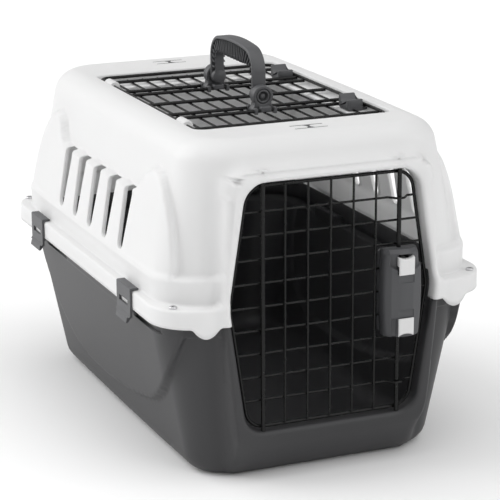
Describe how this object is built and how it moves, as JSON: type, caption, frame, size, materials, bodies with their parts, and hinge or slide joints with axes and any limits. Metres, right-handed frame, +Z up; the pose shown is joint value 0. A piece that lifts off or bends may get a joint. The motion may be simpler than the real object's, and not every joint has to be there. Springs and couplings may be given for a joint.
{
  "type": "pet transport carrier",
  "caption": "Two-shell plastic pet carrier with a wire front door, a wire roof door with a folding handle, and side clips that hold the shells together.",
  "frame": {"origin": "middle of the carrier's outer box, on the floor", "axes": "+X to the right seen from the door, +Y from the door to the rear, +Z up"},
  "size_m": [0.413, 0.582, 0.4519],
  "materials": {
    "white_shell_plastic": "fine satin moulded",
    "dark_shell_plastic": "fine satin moulded",
    "grey_fitting_plastic": "satin moulded",
    "latch_plastic": "satin moulded",
    "button_plastic": "satin moulded",
    "black_coated_wire": "smooth black coating",
    "zinc_steel": "zinc plated"
  },
  "bodies": {
    "carrier": {"lower_shell": "dark_shell_plastic", "upper_shell": "white_shell_plastic", "corner_screws": "zinc_steel", "corner_nuts": "zinc_steel"},
    "front_door": {"front_door_grille": "black_coated_wire", "hinge_rod": "black_coated_wire", "latch_housing": "latch_plastic", "latch_back": "latch_plastic", "upper_latch_spring": "zinc_steel", "lower_latch_spring": "zinc_steel"},
    "upper_lock": {"upper_latch_button": "button_plastic", "upper_lock_rod": "black_coated_wire"},
    "lower_lock": {"lower_latch_button": "button_plastic", "lower_lock_rod": "black_coated_wire"},
    "top_door": {"top_door_grille": "black_coated_wire", "handle_bracket_front": "grey_fitting_plastic", "handle_bracket_rear": "grey_fitting_plastic"},
    "front_top_latch": {"top_latch_front": "grey_fitting_plastic"},
    "rear_top_latch": {"top_latch_rear": "grey_fitting_plastic"},
    "handle": {"carry_handle": "grey_fitting_plastic"},
    "clip_left_front": {"side_clip_left_front": "grey_fitting_plastic"},
    "clip_left_rear": {"side_clip_left_rear": "grey_fitting_plastic"},
    "clip_right_front": {"side_clip_right_front": "grey_fitting_plastic"},
    "clip_right_rear": {"side_clip_right_rear": "grey_fitting_plastic"}
  },
  "joints": [
    {"name": "front_door_hinge", "type": "hinge", "parent": "carrier", "child": "front_door", "pos_m": [-0.0822, -0.26745, 0.2022], "axis": [0, 0, -1], "range_deg": [0, 120]},
    {"name": "upper_lock_slide", "type": "slide", "parent": "front_door", "child": "upper_lock", "axis": [0, 0, -1], "range_m": [0, 0.009], "stiffness_N_per_m": 250, "springref_m": -0.005, "deforming": ["upper_latch_spring"]},
    {"name": "lower_lock_slide", "type": "slide", "parent": "front_door", "child": "lower_lock", "axis": [0, 0, 1], "range_m": [0, 0.009], "stiffness_N_per_m": 250, "springref_m": -0.003, "deforming": ["lower_latch_spring"]},
    {"name": "top_door_hinge", "type": "hinge", "parent": "carrier", "child": "top_door", "pos_m": [-0.1168, -0.00245, 0.3824], "axis": [0, -1, 0], "range_deg": [0, 100]},
    {"name": "front_top_latch_slide", "type": "slide", "parent": "top_door", "child": "front_top_latch", "axis": [-1, 0, 0], "range_m": [0, 0.006]},
    {"name": "rear_top_latch_slide", "type": "slide", "parent": "top_door", "child": "rear_top_latch", "axis": [-1, 0, 0], "range_m": [0, 0.006]},
    {"name": "handle_pivot", "type": "hinge", "parent": "top_door", "child": "handle", "pos_m": [0, -0.00245, 0.3959], "axis": [0, 1, 0], "range_deg": [-88, 88]},
    {"name": "clip_left_front_hinge", "type": "hinge", "parent": "carrier", "child": "clip_left_front", "pos_m": [-0.1938, -0.15345, 0.2127], "axis": [0, 1, 0], "range_deg": [0, 40]},
    {"name": "clip_left_rear_hinge", "type": "hinge", "parent": "carrier", "child": "clip_left_rear", "pos_m": [-0.1938, 0.16855, 0.2127], "axis": [0, 1, 0], "range_deg": [0, 40]},
    {"name": "clip_right_front_hinge", "type": "hinge", "parent": "carrier", "child": "clip_right_front", "pos_m": [0.1938, -0.15345, 0.2127], "axis": [0, -1, 0], "range_deg": [0, 40]},
    {"name": "clip_right_rear_hinge", "type": "hinge", "parent": "carrier", "child": "clip_right_rear", "pos_m": [0.1938, 0.16855, 0.2127], "axis": [0, -1, 0], "range_deg": [0, 40]}
  ]
}
